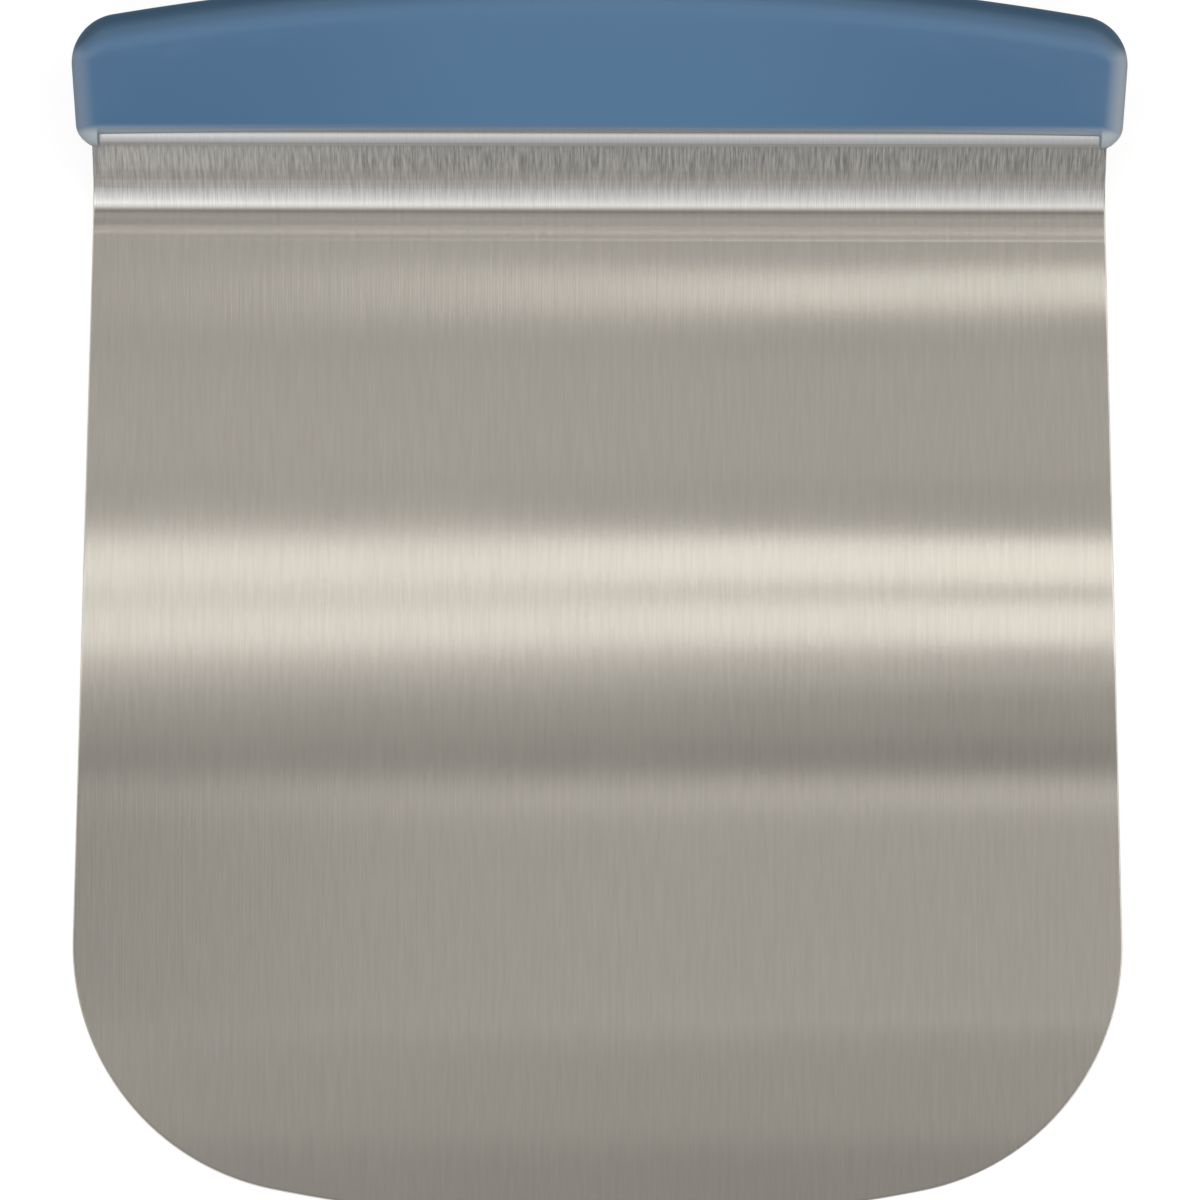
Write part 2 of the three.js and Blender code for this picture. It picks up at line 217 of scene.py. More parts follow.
def closed_mesh(name, points, faces, sharp_angle):
    """A mesh object with its faces turned outwards, smooth up to the given angle."""
    mesh = bpy.data.meshes.new(name)
    mesh.from_pydata(points, [], faces)
    work = bmesh.new()
    work.from_mesh(mesh)
    bmesh.ops.recalc_face_normals(work, faces=work.faces)
    work.to_mesh(mesh)
    work.free()
    mesh.polygons.foreach_set("use_smooth", [True] * len(mesh.polygons))
    mesh.set_sharp_from_angle(angle=sharp_angle)
    piece = bpy.data.objects.new(name, mesh)
    bpy.context.scene.collection.objects.link(piece)
    return piece


def sheet_wave(x, length):
    """How far the rolled sheet stands off flat: a few hundredths of a millimetre, none at the bend."""
    fade = clamp((bend_start - length) / wave_fade, 0, 1)
    long_turn = 2 * math.pi * (length / long_wave_run + x / long_wave_drift)
    cross_turn = 2 * math.pi * (x / cross_wave_run + length / cross_wave_drift) + cross_wave_start
    return fade * (long_wave_height * math.sin(long_turn) + cross_wave_height * math.sin(cross_turn))


def make_blade():
    outline = blade_outline()
    points, flat, faces = [], [], []

    def add(places, off):
        start = len(points)
        for x, length in places:
            y, z = sheet_section(length, off + sheet_wave(x, length))
            points.append((x, y, z))
            flat.append((x, length))
        return list(range(start, len(points)))

    edge_loops = []
    steps = 5
    for side in (1, -1):
        for i in range(steps + 1):
            turn = math.pi / 2 * (i / steps if side < 0 else 1 - i / steps)
            inset = deburr_radius * (1 - math.cos(turn))
            off = side * (half_sheet - deburr_radius * (1 - math.sin(turn)))
            edge_loops.append(add(drawn_in(outline, inset) if inset else outline, off))
    for low, high in zip(edge_loops, edge_loops[1:]):
        join_loops(faces, low, high)

    flat_spots = [(x, tang_start + y - sheet_section(tang_start, 0)[0]) for x, y in screw_spots]
    hole_loops = [circle(spot, tang_hole_radius) for spot in flat_spots]
    support = drawn_in(outline, deburr_radius + edge_support)
    limit = drawn_in(outline, deburr_radius + edge_clearance)
    hole_reach = tang_hole_radius * hole_clearance
    spread = [(x, length) for length in sheet_rows()
              for x in even_steps(-mesh_reach, mesh_reach, mesh_columns)
              if inside_loop(limit, x, length)
              and not any(math.dist((x, length), spot) < hole_reach for spot in flat_spots)]
    holes_by_side = []
    for side, edge in ((1, edge_loops[0]), (-1, edge_loops[-1])):
        off = side * half_sheet
        support_loop = add(support, off)
        holes = [add(loop, off) for loop in hole_loops]
        faces += fill_triangles(flat, [edge], holes, support_loop + add(spread, off))
        holes_by_side.append(holes)
    for top, bottom in zip(*holes_by_side):
        join_loops(faces, top, bottom)

    piece = closed_mesh("blade_sheet", points, faces, blade_sharp_angle)
    uv = piece.data.uv_layers.new(name="along_sheet")
    for loop in piece.data.loops:
        x, length = flat[loop.vertex_index]
        uv.data[loop.index].uv = (0.5 + x / uv_size, 0.8 + length / uv_size)
    return piece


def new_finish(name):
    """A new node material, with its node tree and its shader."""
    finish = bpy.data.materials.new(name)
    finish.use_nodes = True
    tree = finish.node_tree
    return finish, tree, tree.nodes["Principled BSDF"]


def add_node(tree, kind, inputs=None, **settings):
    node = tree.nodes.new(kind)
    for key, value in settings.items():
        setattr(node, key, value)
    for key, value in (inputs or {}).items():
        if isinstance(value, bpy.types.NodeSocket):
            tree.links.new(value, node.inputs[key])
        else:
            node.inputs[key].default_value = value
    return node


def blend_colour(tree, factor, first, second):
    """A mix of two colours, each a plain colour or the output of a node."""
    mix = add_node(tree, "ShaderNodeMix", data_type="RGBA")
    tree.links.new(factor, mix.inputs[0])
    for socket, colour in ((mix.inputs[6], first), (mix.inputs[7], second)):
        if isinstance(colour, bpy.types.NodeSocket):
            tree.links.new(colour, socket)
        else:
            socket.default_value = (*colour, 1)
    return mix.outputs[2]


def ranged(tree, value, low, high, first=0.0, last=1.0, kind="SMOOTHSTEP"):
    """A value that goes from first to last as another goes from low to high."""
    return add_node(tree, "ShaderNodeMapRange", {
        "Value": value, "From Min": low, "From Max": high, "To Min": first, "To Max": last},
        interpolation_type=kind).outputs["Result"]


def combined(tree, first, second, operation="ADD"):
    return add_node(tree, "ShaderNodeMath", {0: first, 1: second}, operation=operation).outputs[0]


def soft_marks_group():
    """Cloudy marks that hands and washing leave: a mask from 0 to 1 at a given size."""
    group = bpy.data.node_groups.new("soft_marks", "ShaderNodeTree")
    face = group.interface
    face.new_socket("Place", in_out="INPUT", socket_type="NodeSocketVector")
    face.new_socket("Marks per metre", in_out="INPUT", socket_type="NodeSocketFloat")
    face.new_socket("Mask", in_out="OUTPUT", socket_type="NodeSocketFloat")
    start = group.nodes.new("NodeGroupInput")
    end = group.nodes.new("NodeGroupOutput")
    cloud = add_node(group, "ShaderNodeTexNoise", {
        "Vector": start.outputs["Place"], "Scale": start.outputs["Marks per metre"],
        "Detail": 2.0, "Roughness": 0.5})
    spread = ranged(group, cloud.outputs["Fac"], 0.15, 0.85, kind="LINEAR")
    group.links.new(spread, end.inputs["Mask"])
    return group


soft_marks = soft_marks_group()


def place_marks(tree, place, marks_per_metre):
    marks = add_node(tree, "ShaderNodeGroup", node_tree=soft_marks)
    tree.links.new(place, marks.inputs["Place"])
    marks.inputs["Marks per metre"].default_value = marks_per_metre
    return marks.outputs["Mask"]


def brushed_steel():
    finish, tree, shader = new_finish("brushed_steel")
    along = add_node(tree, "ShaderNodeUVMap", uv_map="along_sheet").outputs["UV"]

    def grain(across, lengthwise):
        """Noise drawn out along the brushing, at a number of lines across and along the sheet."""
        drawn = add_node(tree, "ShaderNodeMapping", {"Vector": along, "Scale": (across, lengthwise, 1)})
        lines = add_node(tree, "ShaderNodeTexNoise", {
            "Vector": drawn.outputs["Vector"], "Scale": 1.0, "Detail": 3.0, "Roughness": 0.6},
            noise_dimensions="2D")
        return lines.outputs["Fac"]

    def drawn_lines(fine, coarse, low, high):
        """A fine and a coarse grain together, from 0 to 1."""
        lines = combined(tree, grain(*fine), grain(*coarse))
        return ranged(tree, lines, low, high, kind="LINEAR")

    place = add_node(tree, "ShaderNodeTexCoord").outputs["Object"]
    spot = add_node(tree, "ShaderNodeSeparateXYZ", {"Vector": place}).outputs
    marks = place_marks(tree, place, 28.0)
    hairline = drawn_lines((900, 34), (280, 20), 0.72, 1.28)
    streak = drawn_lines((950, 34), (400, 18), 0.74, 1.26)
    flat_colour = blend_colour(tree, hairline, (0.608, 0.579, 0.533), (0.644, 0.615, 0.569))
    bend_colour = blend_colour(tree, streak, (0.53, 0.508, 0.475), (0.73, 0.703, 0.663))
    # Towards its left end the riser is painted lighter, as painted light, on top of its streaks.
    streak_and_painted_left_light = combined(tree, streak, ranged(tree, spot["X"], -20 * MM, -85 * MM, 0.0, 0.24))
    # The riser's colour is painted darker than the flat steel's, as painted shade; its streaks are the
    # brushing.
    riser_grain_and_painted_shade = blend_colour(tree, streak_and_painted_left_light, (0.24, 0.237, 0.229), (0.53, 0.522, 0.505))
    # The upper bend, in the notch under the lid, has a steadier grain and is painted darker as painted
    # shade.
    upper_bend_painted_shade = blend_colour(tree, hairline, (0.50, 0.487, 0.462), (0.52, 0.507, 0.482))
    up_riser = ranged(tree, spot["Z"], 4.5 * MM, 12.5 * MM)
    climb_colour = blend_colour(tree, up_riser, bend_colour, riser_grain_and_painted_shade)
    above_riser = ranged(tree, spot["Z"], 10 * MM, 15 * MM)
    below_tang = ranged(tree, spot["Z"], 21.2 * MM, 20.3 * MM)
    upper_bend = combined(tree, below_tang, above_riser, "MULTIPLY")
    level_colour = blend_colour(tree, upper_bend, flat_colour, upper_bend_painted_shade)
    off_flat = ranged(tree, spot["Z"], 1.2 * MM, 4 * MM)
    below_bend = ranged(tree, spot["Z"], 19.2 * MM, 18.2 * MM)
    climbing = combined(tree, off_flat, below_bend, "MULTIPLY")
    tree.links.new(blend_colour(tree, climbing, level_colour, climb_colour), shader.inputs["Base Color"])

    duller_left = ranged(tree, spot["X"], 90 * MM, -60 * MM, 0.092, 0.125)
    smudged = ranged(tree, marks, 0.0, 1.0, 0.0, 0.025, "LINEAR")
    tree.links.new(combined(tree, smudged, duller_left), shader.inputs["Roughness"])

    past_crease = combined(tree, spot["Y"], crease_line, "SUBTRACT")
    off_crease = combined(tree, past_crease, 0.0, "ABSOLUTE")
    at_crease = ranged(tree, off_crease, 2.0 * MM, 0.4 * MM, 0.0, 1.2)
    pressed = combined(tree, at_crease, grain(1000, 1000), "MULTIPLY")
    groove = add_node(tree, "ShaderNodeBump", {
        "Strength": 1.0, "Distance": 0.018 * MM, "Height": combined(tree, grain(1100, 5), pressed)})
    tree.links.new(groove.outputs["Normal"], shader.inputs["Normal"])
    across = add_node(tree, "ShaderNodeTangent", direction_type="UV_MAP", uv_map="along_sheet")
    tree.links.new(across.outputs["Tangent"], shader.inputs["Tangent"])
    shader.inputs["Metallic"].default_value = 1.0
    shader.inputs["Anisotropic"].default_value = 1.0
    return finish


blade = make_blade()
blade.data.materials.append(brushed_steel())
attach(blade, "root")
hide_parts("blade")


# Handle, bottom shell: an injection moulded tray of satin blue plastic under the tang. Its rim
# carries the sheet, and four sunk holes in its underside lead the screws through hollow bosses.
handle_low = 14 * MM
handle_high = 28 * MM
handle_front = 87.08 * MM
handle_rear = 120.08 * MM
handle_half_width = 101.0 * MM
arch_radius = 556 * MM
end_taper = math.radians(4.2)
rear_corner_radius = 9.4 * MM
front_face_corner = 4.3 * MM
edge_height = 3.4 * MM
edge_reach = {"front": 3.2 * MM, "ends": 4.1 * MM, "rear": 8.4 * MM, "notch": 1.2 * MM}
rear_edge_reach = 3.2 * MM
rear_dome_drop = 0.75 * MM
shell_wall = 2.2 * MM
parting_gap = 0.25 * MM
boss_radius = 4.2 * MM
bore_radius = 1.75 * MM
sink_radius = 3.0 * MM
sink_chamfer = 0.25 * MM
screw_seat = 16.5 * MM
tray_boss_top = 19.7 * MM
lid_boss_foot = 21.1 * MM
lid_bore_end = 25.0 * MM
face_pitch = 2.5 * MM
inside_pitch = 8 * MM
tang_half_width = 97.6 * MM
notch_depth = 2.38 * MM
notch_half_width = 95.93 * MM
notch_bow = 0.78 * MM
notch_corner_radius = 0.4 * MM
cheek_corner_radius = 0.25 * MM
cheek_share = 0.6
dome_overlap = 0.9
tight_edge_share = 0.75
mesh_margin = 0.8 * MM
crown_fade = 8
shell_sharp_angle = math.radians(40)


def handle_loop(inset, notched=False):
    """Outline of the handle from above, drawn in by its own amounts at the front, ends and rear.
    A notched one stands back from the sheet's upper bend, between two cheeks at its ends."""
    arch_centre = (0, handle_rear - arch_radius)
    rear_x = handle_half_width - rear_corner_radius
    rear_y = arch_centre[1] + math.sqrt((arch_radius - rear_corner_radius) ** 2 - rear_x ** 2)
    reach = rear_x * math.cos(end_taper) - rear_y * math.sin(end_taper) + rear_corner_radius
    front_y = handle_front + front_face_corner
    front_x = (reach - front_face_corner + math.sin(end_taper) * front_y) / math.cos(end_taper)
    meet = math.atan2(rear_y - arch_centre[1], rear_x)

    def drawn(centre, radius, start, end, count):
        places = []
        for turn in even_steps(start, end, count):
            inward = inset["front"] if math.sin(turn) < 0 else inset["rear"]
            places.append((centre[0] + (radius - inset["ends"]) * math.cos(turn),
                           centre[1] + (radius - inward) * math.sin(turn)))
        return places

    front_start = -math.pi / 2
    if notched:
        corner_reach = front_face_corner - inset["ends"]
        cheek_x = min(notch_half_width + cheek_corner_radius, front_x + cheek_share * corner_reach)
        wall_x = cheek_x - cheek_corner_radius
        front_start = -math.acos((cheek_x - front_x) / corner_reach)
    front_corner = drawn((front_x, front_y), front_face_corner, front_start, -end_taper, 16)
    rear_corner = drawn((rear_x, rear_y), rear_corner_radius, -end_taper, meet, 24)
    (low_x, low_y), (high_x, high_y) = front_corner[-1], rear_corner[0]
    end_line = [(low_x + (high_x - low_x) * i / 8, low_y + (high_y - low_y) * i / 8) for i in range(1, 8)]
    arch = drawn(arch_centre, arch_radius, meet, math.pi / 2, 40)[1:]
    if notched:
        notch_y = handle_front + notch_depth + inset["notch"]
        inner_corner = arc_points((wall_x - notch_corner_radius, notch_y - notch_corner_radius),
                                  notch_corner_radius, math.pi / 2, 0, 6)
        cheek_corner = arc_points((cheek_x, front_corner[0][1] + cheek_corner_radius),
                                  cheek_corner_radius, math.pi, math.pi * 1.5, 6)
        front_line = [(x, notch_y + notch_bow * (1 - (x / inner_corner[0][0]) ** 2))
                      for x in even_steps(0, inner_corner[0][0], 32)[:-1]]
        front_line += inner_corner + cheek_corner[:-1]
    else:
        front_line = [(x, front_corner[0][1]) for x in even_steps(0, front_corner[0][0], 32)[:-1]]
    return mirrored_loop(front_line + front_corner + end_line + rear_corner + arch[:-1] + [(0, arch[-1][1])])


def edge_rings(depth, count):
    """Insets and drops of the rounded edge, from the upright wall to the flat face, at a depth inside.
    At the rear a tight edge runs out into a low dome."""
    rings = []
    for turn in even_steps(0, math.pi / 2, count):
        inset = {side: reach - (reach - depth) * math.cos(turn) for side, reach in edge_reach.items()}
        drop = edge_height - (edge_height - depth) * math.sin(turn)
        if drop > rear_dome_drop:
            rise = (edge_height - drop) / (edge_height - dome_overlap * rear_dome_drop)
            bulge = 1 - math.sqrt(1 - rise ** 2)
            inset["rear"] = depth + rear_edge_reach * bulge / tight_edge_share
        else:
            run = edge_reach["rear"] - rear_edge_reach
            inset["rear"] = depth + edge_reach["rear"] - run * math.sqrt(drop / rear_dome_drop)
        rings.append((inset, drop))
    return rings


def sheet_line(y, off):
    """Height of the bent sheet's line at a place behind the riser, off its middle."""
    low, high = riser_start, tang_end + 100 * MM
    for _ in range(48):
        middle = (low + high) / 2
        if sheet_section(middle, off)[0] < y:
            low = middle
        else:
            high = middle
    return sheet_section(low, off)[1]


def bottom_rim(x, y):
    if abs(x) < tang_half_width and y < sheet_section(tang_end, 0)[0]:
        return sheet_line(y, -half_sheet - parting_gap)
    return sheet_line(y, half_sheet)


def spread_inside(loop, holes, pitch, margin):
    """Even spots inside an outline and clear of its round holes."""
    limit = drawn_in(loop, margin)
    xs = [x for x, _ in loop]
    ys = [y for _, y in loop]
    columns = even_steps(min(xs), max(xs), round((max(xs) - min(xs)) / pitch))
    rows = even_steps(min(ys), max(ys), round((max(ys) - min(ys)) / pitch))
    return [(x, y) for x in columns for y in rows
            if inside_loop(limit, x, y) and all(math.dist((x, y), spot) > radius + margin
                                                for spot, radius in holes)]


def make_shell(name, side, face_level, rim, crown):
    """Half the handle: side is 1 for the top and -1 for the bottom, face level its flat outer face."""
    points, faces = [], []

    def add(places, heights):
        start = len(points)
        points.extend((x, y, z) for (x, y), z in zip(places, heights))
        return list(range(start, len(points)))

    def level(loop, z):
        return add(loop, [z] * len(loop))

    def skin(depth, setback, notched, count):
        rings = []
        wall = {key: depth for key in edge_reach}
        wall["front"] += setback
        rim_loop = handle_loop(wall, notched)
        rings.append(add(rim_loop, [rim(x, y) for x, y in rim_loop]))
        for inset, drop in edge_rings(depth, count):
            inset["front"] += setback
            rings.append(level(handle_loop(inset, notched), face_level - side * drop))
        for low, high in zip(rings, rings[1:]):
            join_loops(faces, low, high)
        return rings[0], rings[-1]

    def rim_band(outer, inner):
        """Closes the rim between two loops of different count."""
        flat = [point[:2] for point in points]
        return fill_triangles(flat, [outer], [inner], [])

    outer_rim, outer_face = skin(0.0, 0.0, side > 0, 14)
    inner_rim, inner_face = skin(shell_wall, notch_depth, False, 5)
    faces.extend(rim_band(outer_rim, inner_rim))

    face_holes, room_holes = [], []
    for spot in screw_spots:
        if side < 0:
            profile = [(sink_radius + sink_chamfer, handle_low), (sink_radius, handle_low + sink_chamfer),
                       (sink_radius, screw_seat), (bore_radius, screw_seat), (bore_radius, tray_boss_top),
                       (boss_radius, tray_boss_top), (boss_radius, handle_low + shell_wall)]
        else:
            profile = [(bore_radius, lid_bore_end), (bore_radius, lid_boss_foot),
                       (boss_radius, lid_boss_foot), (boss_radius, handle_high - shell_wall)]
        rings = [level(circle(spot, radius), z) for radius, z in profile]
        for low, high in zip(rings, rings[1:]):
            join_loops(faces, low, high)
        room_holes.append(rings[-1])
        if side < 0:
            face_holes.append(rings[0])
        else:
            faces.append(tuple(rings[0]))

    def cover(edge, holes, hole_radius, pitch, rise):
        loop = [points[i][:2] for i in edge]
        spots = [(spot, hole_radius) for spot in screw_spots] if holes else []
        inner = spread_inside(loop, spots, pitch, mesh_margin)
        start_z = points[edge[0]][2]
        half_width = max(x for x, _ in loop)
        rear_y = max(y for _, y in loop)
        middle_y = (rear_y + min(y for _, y in loop)) / 2
        heights = []
        for x, y in inner:
            off_end = 1 - (x / half_width) ** 2
            off_side = 1 - ((y - middle_y) / (rear_y - middle_y)) ** 2
            heights.append(start_z + side * rise * clamp(off_side, 0, 1) * clamp(off_end * crown_fade, 0, 1))
        inner_places = add(inner, heights)
        flat = [point[:2] for point in points]
        return fill_triangles(flat, [edge], holes, inner_places)

    faces.extend(cover(outer_face, face_holes, sink_radius, face_pitch, crown))
    faces.extend(cover(inner_face, room_holes, boss_radius, inside_pitch, 0.0))
    return closed_mesh(name, points, faces, shell_sharp_angle)


def blue_plastic():
    finish, tree, shader = new_finish("blue_plastic")
    inputs = add_node(tree, "ShaderNodeTexCoord").outputs
    place = inputs["Object"]
    spot = add_node(tree, "ShaderNodeSeparateXYZ", {"Vector": place}).outputs
    facing = add_node(tree, "ShaderNodeSeparateXYZ", {"Vector": inputs["Normal"]}).outputs
    marks = place_marks(tree, place, 22.0)

    # The face's blue is painted lighter towards the middle of the handle, as painted light.
    off_middle = combined(tree, spot["X"], 0.0, "ABSOLUTE")
    painted_middle_light = ranged(tree, off_middle, 78 * MM, 10 * MM, 0.0, 0.8)
    # A band along the rear roll is painted lighter as a painted highlight; the cloudy marks add real tone.
    painted_rear_highlight = ranged(tree, facing["Y"], 0.02, 0.12, 0.0, 0.9)
    painted_face_light = combined(tree, painted_middle_light, painted_rear_highlight)
    marks_and_painted_light = combined(tree, combined(tree, marks, 0.2, "MULTIPLY"), painted_face_light)
    face_blue = blend_colour(tree, marks_and_painted_light, (0.043, 0.128, 0.257), (0.061, 0.160, 0.302))

    # The lid's front edge is painted a pale grey as a painted highlight.
    at_front = ranged(tree, spot["Y"], 91.4 * MM, 89.0 * MM)
    on_lid = ranged(tree, spot["Z"], 18.5 * MM, 20.5 * MM)
    lid_front = combined(tree, at_front, on_lid, "MULTIPLY")
    front_roll = ranged(tree, facing["Z"], 0.02, 0.20, 0.5, 1.0)
    painted_front_highlight = combined(tree, lid_front, front_roll, "MULTIPLY")
    # The upper rolls of the ends are painted pale as a painted highlight, more at the right end, where the
    # stronger lamp stands.
    right_end = ranged(tree, facing["X"], 0.0, 0.7, 0.0, 0.74, "LINEAR")
    left_end = ranged(tree, facing["X"], 0.0, -0.7, 0.0, 0.44, "LINEAR")
    either_end = combined(tree, right_end, left_end, "MAXIMUM")
    upper_roll = ranged(tree, facing["Z"], 0.02, 0.20)
    painted_end_highlight = combined(tree, either_end, upper_roll, "MULTIPLY")
    painted_edge_highlight = combined(tree, painted_front_highlight, painted_end_highlight, "MAXIMUM")
    edged_blue = blend_colour(tree, painted_edge_highlight, face_blue, (0.38, 0.43, 0.465))
    # Where the rear edge turns away it is painted a darker blue as painted shade.
    painted_rear_shade = ranged(tree, facing["Y"], 0.12, 0.36, 0.0, 0.9)
    whole_blue = blend_colour(tree, painted_rear_shade, edged_blue, (0.032, 0.082, 0.146))
    tree.links.new(whole_blue, shader.inputs["Base Color"])

    tree.links.new(ranged(tree, marks, 0.0, 1.0, 0.40, 0.50, "LINEAR"), shader.inputs["Roughness"])
    pits = add_node(tree, "ShaderNodeTexNoise", {"Vector": place, "Scale": 2600.0, "Detail": 2.0})
    skin = add_node(tree, "ShaderNodeBump", {
        "Strength": 0.25, "Distance": 0.02 * MM, "Height": pits.outputs["Fac"]})
    tree.links.new(skin.outputs["Normal"], shader.inputs["Normal"])
    shader.inputs["IOR"].default_value = 1.52
    return finish


plastic = blue_plastic()
bottom_shell = make_shell("handle_tray", -1, handle_low, bottom_rim, 0.0)
bottom_shell.data.materials.append(plastic)
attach(bottom_shell, "root")
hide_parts("handle_bottom_shell")


# Handle, top shell: a lid of the same plastic, moulded with a full roll along its rear for the
# palm. It closes down on the sheet, and blind bosses under it take the screws' threads.
lid_crown = 0.12 * MM


def top_rim(x, y):
    return sheet_line(y, half_sheet + parting_gap)


top_shell = make_shell("handle_lid", 1, handle_high, top_rim, lid_crown)
top_shell.data.materials.append(plastic)
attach(top_shell, "root")
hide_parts("handle_top_shell")


# Screws: four small zinc plated pan heads with a cross recess, cold formed with a rolled thread.
# They are driven up from below, and their heads sit in the bottom shell's sunk holes.
def zinc_plate():
    finish, tree, shader = new_finish("zinc_plate")
    place = add_node(tree, "ShaderNodeTexCoord").outputs["Object"]
    marks = place_marks(tree, place, 900.0)
    colour = blend_colour(tree, marks, (0.46, 0.46, 0.45), (0.58, 0.58, 0.57))
    tree.links.new(colour, shader.inputs["Base Color"])
    tree.links.new(ranged(tree, marks, 0.0, 1.0, 0.3, 0.45, "LINEAR"), shader.inputs["Roughness"])
    shader.inputs["Metallic"].default_value = 1.0
    return finish


screw_finish = zinc_plate()
for number in range(1, 5):
    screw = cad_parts[f"handle_screw_{number}"]
    screw.data.materials.clear()
    screw.data.materials.append(screw_finish)


# Floor: a plain white table top under the lifter, which glows a little so that it stays white,
# takes the lifter's shadow, and can be seen through from below.
floor_half = 8.0
floor_level = -0.4 * MM
floor_grey = 0.20
seen_glow = 0.86
mirrored_glow = 0.33
floor_mesh = bpy.data.meshes.new("table_top")
floor_mesh.from_pydata([(-floor_half, -floor_half, floor_level), (floor_half, -floor_half, floor_level),
                        (floor_half, floor_half, floor_level), (-floor_half, floor_half, floor_level)],
                       [], [(0, 1, 2, 3)])
floor = bpy.data.objects.new("table_top", floor_mesh)
bpy.context.scene.collection.objects.link(floor)
floor_finish = bpy.data.materials.new("white_table")
floor_finish.use_nodes = True
floor_tree = floor_finish.node_tree
floor_tree.nodes.clear()
white = add_node(floor_tree, "ShaderNodeBsdfDiffuse", {"Color": (floor_grey, floor_grey, floor_grey, 1)})
ray = add_node(floor_tree, "ShaderNodeLightPath").outputs
seen = combined(floor_tree, ray["Is Camera Ray"], seen_glow, "MULTIPLY")
mirrored = combined(floor_tree, ray["Is Glossy Ray"], mirrored_glow, "MULTIPLY")
glow_level = combined(floor_tree, seen, mirrored)
glow = add_node(floor_tree, "ShaderNodeEmission", {"Color": (1, 1, 1, 1), "Strength": glow_level})
lit = add_node(floor_tree, "ShaderNodeAddShader", {0: white.outputs[0], 1: glow.outputs[0]})
clear = add_node(floor_tree, "ShaderNodeBsdfTransparent")
below = add_node(floor_tree, "ShaderNodeNewGeometry").outputs["Backfacing"]
surface = add_node(floor_tree, "ShaderNodeMixShader", {0: below, 1: lit.outputs[0], 2: clear.outputs[0]})
add_node(floor_tree, "ShaderNodeOutputMaterial", {"Surface": surface.outputs[0]})
floor.data.materials.append(floor_finish)


# Light: a pale room with a brighter wall in front of the lifter, a large soft lamp at each side and
# one behind, a small card in front on the left, and overhead strips that the brushed steel shows
# as bands across its width.
room = bpy.data.worlds.new("pale_room")
room.use_nodes = True
bpy.context.scene.world = room
room_tree = room.node_tree
sky = room_tree.nodes["Background"]
way = add_node(room_tree, "ShaderNodeTexCoord").outputs["Generated"]
look = add_node(room_tree, "ShaderNodeSeparateXYZ", {"Vector": way}).outputs
front_wall = ranged(room_tree, look["Y"], -0.450, -0.715)
wall_side = ranged(room_tree, combined(room_tree, look["X"], 0.0, "ABSOLUTE"), 0.62, 0.28)
wall_slant = ranged(room_tree, look["X"], -0.30, 0.30, 1.30, 0.42, "LINEAR")
wall_height = ranged(room_tree, look["Z"], 0.0, 0.9, 0.0, 0.9, "LINEAR")
wall_rise = combined(room_tree, combined(room_tree, wall_height, 1.5, "POWER"), 1.284, "MULTIPLY")
wall_level = combined(room_tree, wall_rise, 0.28)
wall_shape = combined(room_tree, front_wall, wall_side, "MULTIPLY")
wall_shade = combined(room_tree, wall_slant, wall_level, "MULTIPLY")
wall_glow = combined(room_tree, wall_shape, wall_shade, "MULTIPLY")
low_wall = ranged(room_tree, look["Z"], 0.6, 0.1, 0.07, 0.19)
rear_fade = ranged(room_tree, look["Y"], 0.12, 0.5, 1.0, 0.0)
room_level = combined(room_tree, combined(room_tree, low_wall, rear_fade, "MULTIPLY"), 0.24)
room_tree.links.new(combined(room_tree, room_level, wall_glow), sky.inputs["Strength"])
room_tint = blend_colour(room_tree, front_wall, (1.0, 0.97, 0.93), (0.97, 1.0, 1.05))
room_tree.links.new(room_tint, sky.inputs["Color"])


power_per_area = 4
plain_tint = (1.0, 1.0, 1.0)
warm_tint = (1.0, 0.975, 0.92)
side_aim = (0.0, 0.08, 0.02)


def studio_lamp(name, place, aim, width, depth, glow, tint):
    """A soft rectangular lamp, in metres. Its glow is how bright its face is, with white at 1."""
    light = bpy.data.lights.new(name, "AREA")
    light.shape = "RECTANGLE"
    light.size = width
    light.size_y = depth
    light.color = tint
    light.energy = glow * power_per_area * width * depth
    lamp = bpy.data.objects.new(name, light)
    lamp.location = place
    lamp.rotation_euler = (Vector(aim) - Vector(place)).to_track_quat("-Z", "Y").to_euler()
    lamp.visible_camera = False
    bpy.context.scene.collection.objects.link(lamp)
    return lamp


studio_lamp("right_lamp", (0.95, -0.06, 0.70), side_aim, 1.6, 1.4, 0.75, warm_tint)
studio_lamp("left_lamp", (-0.95, -0.06, 0.70), side_aim, 1.6, 1.2, 0.50, plain_tint)
studio_lamp("left_card", (-0.30, -0.34, 0.26), (-0.09, 0.08, 0.01), 0.26, 0.30, 0.42, plain_tint)
studio_lamp("rear_lamp", (0.0, 0.48, 0.92), (0.0, 0.1, 0.02), 1.2, 0.5, 1.2, plain_tint)

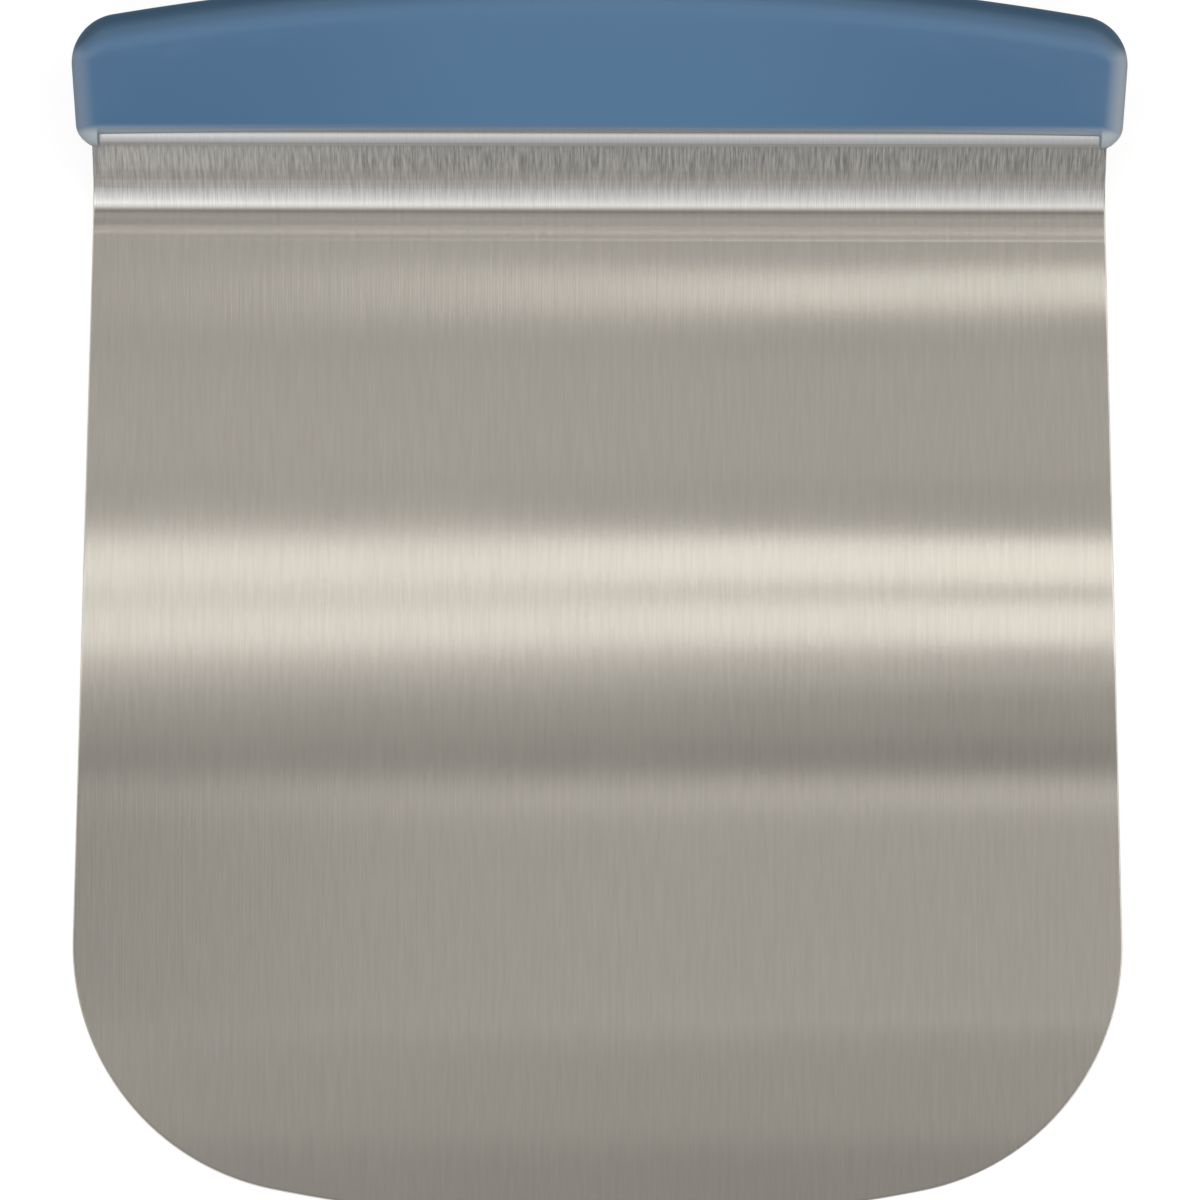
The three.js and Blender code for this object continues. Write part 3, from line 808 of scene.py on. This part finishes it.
strip_height = 0.5
strip_lift = 0.004
strip_spread = 1.25
strip_turn = math.radians(0.3)
strip_tint = (1.0, 0.992, 0.94)
# Each strip: where its rear and front edge show on the blade in mm, its middle and width in m, its glow.
strips = {
    "rear_wash": (88.0, -17.0, 0.0, 1.4, 0.135),
    "upper_wash": (88.0, 66.0, 0.0, 1.4, 0.03),
    "middle_wash": (48.0, 24.0, 0.0, 1.4, 0.045),
    "front_wash": (-32.0, -82.0, 0.38, 1.0, 0.168),
    "fading_wash": (-82.0, -104.0, 0.1, 1.4, 0.108),
    "end_wash": (-104.0, -125.0, 0.0, 1.4, 0.046),
    "gap_line": (-32.2, -38.5, 0.38, 1.0, 0.14),
    "wide_strip": (12.3, 2.4, 0.05, 1.3, 0.64),
    "narrow_strip": (-0.6, -9.3, 0.05, 1.3, 0.61),
    "tail_strip": (-9.3, -27.0, 0.0, 1.4, 0.085),
    "rear_strip": (66.0, 58.5, 0.385, 0.86, 0.49),
}
for order, (strip, (rear_y, front_y, middle_x, width, strip_glow)) in enumerate(strips.items()):
    middle_y = strip_spread * (rear_y + front_y) / 2 * MM
    strip_depth = strip_spread * (rear_y - front_y) * MM
    place = (middle_x, middle_y, strip_height + strip_lift * order)
    aim = (middle_x, middle_y, 0.0)
    lamp = studio_lamp(strip, place, aim, width, strip_depth, strip_glow, strip_tint)
    lamp.rotation_euler.z += strip_turn


# Camera: straight above the middle of the lifter with a long lens, as the picture was taken,
# and turned by a hair so that the lifter stands in it as it does there.
view_height = 2.0
frame_width = 232.3 * MM
sensor_size = 36
view_reach = 50
camera_shift = (0.32 * MM, 0.39 * MM)
camera_turn = math.radians(0.137)
camera_data = bpy.data.cameras.new("overhead")
camera_data.sensor_width = sensor_size
camera_data.lens = sensor_size * view_height / frame_width
camera_data.clip_end = view_reach
camera = bpy.data.objects.new("overhead", camera_data)
camera.location = (*camera_shift, view_height + sheet_thickness)
camera.rotation_euler = (0, 0, camera_turn)
bpy.context.scene.collection.objects.link(camera)
bpy.context.scene.camera = camera
bpy.context.scene.view_settings.view_transform = "Standard"
